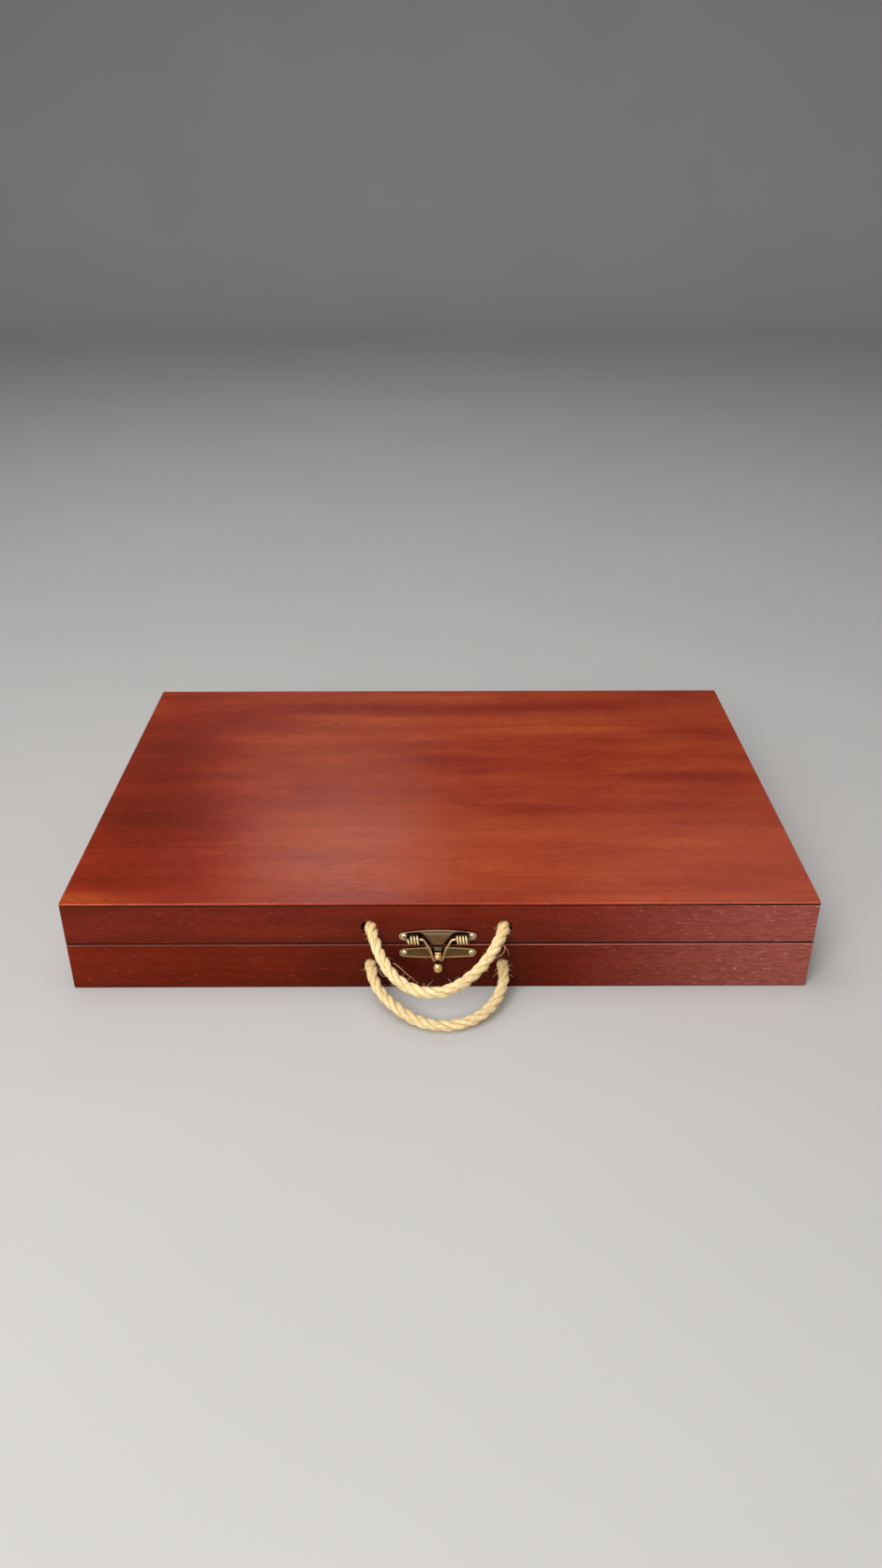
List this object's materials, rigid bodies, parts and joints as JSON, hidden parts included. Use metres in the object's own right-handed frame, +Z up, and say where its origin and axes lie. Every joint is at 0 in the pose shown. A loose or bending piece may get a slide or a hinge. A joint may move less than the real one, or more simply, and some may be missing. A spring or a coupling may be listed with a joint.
{
  "type": "game carrying case",
  "caption": "Shallow hinged wooden box with a rope handle on each half, a sprung wire latch over a hook and felt-lined trays.",
  "frame": {"origin": "middle of the base's underside, on the surface that the closed case rests on", "axes": "+X along the case towards its right-hand end, -Y out of the front with the latch and handles, +Z up"},
  "size_m": [0.4572, 0.3552, 0.0635],
  "materials": {
    "wood": "satin varnished mahogany",
    "rope": "natural sisal, three-strand",
    "felt": "short-napped felt",
    "latch_brass": "antiqued, satin",
    "hinge_brass": "satin",
    "screws": "satin",
    "spring_wire": "brass-plated, bright"
  },
  "bodies": {
    "base": {"base_panel": "wood", "base_front_wall": "wood", "base_back_wall": "wood", "base_left_wall": "wood", "base_right_wall": "wood", "base_felt": "felt", "hook_plate": "latch_brass", "hook_plate_screws": "screws", "left_hinge_base_leaf": "hinge_brass", "right_hinge_base_leaf": "hinge_brass", "left_hinge_pin": "hinge_brass", "right_hinge_pin": "hinge_brass", "base_hinge_screws": "screws", "base_left_rope_end": "rope", "base_right_rope_end": "rope"},
    "lid": {"lid_panel": "wood", "lid_front_wall": "wood", "lid_back_wall": "wood", "lid_left_wall": "wood", "lid_right_wall": "wood", "lid_felt": "felt", "bail_plate": "latch_brass", "bail_plate_screws": "screws", "left_bail_spring": "spring_wire", "right_bail_spring": "spring_wire", "left_hinge_lid_leaf": "hinge_brass", "right_hinge_lid_leaf": "hinge_brass", "lid_hinge_screws": "screws", "lid_left_rope_end": "rope", "lid_right_rope_end": "rope"},
    "bail": {"bail_wire": "spring_wire", "bail_knob": "latch_brass"},
    "lid_handle": {"lid_rope_handle": "rope"},
    "base_handle": {"base_rope_handle": "rope"}
  },
  "joints": [
    {"name": "lid_hinge", "type": "hinge", "parent": "base", "child": "lid", "pos_m": [0, 0.1547, 0.0337], "axis": [-1, 0, 0], "range_deg": [0, 180]},
    {"name": "bail_swing", "type": "hinge", "parent": "lid", "child": "bail", "pos_m": [0, -0.1566, 0.0397], "axis": [-1, 0, 0], "range_deg": [0, 150], "stiffness_Nm_per_rad": 0.004, "springref_deg": -20.05, "deforming": ["left_bail_spring", "right_bail_spring"]},
    {"name": "lid_handle_swing", "type": "hinge", "parent": "lid", "child": "lid_handle", "pos_m": [0, -0.1561, 0.0457], "axis": [1, 0, 0], "range_deg": [-111, 0]},
    {"name": "base_handle_swing", "type": "hinge", "parent": "base", "child": "base_handle", "pos_m": [0, -0.1561, 0.017], "axis": [1, 0, 0], "range_deg": [-25, 0]}
  ]
}
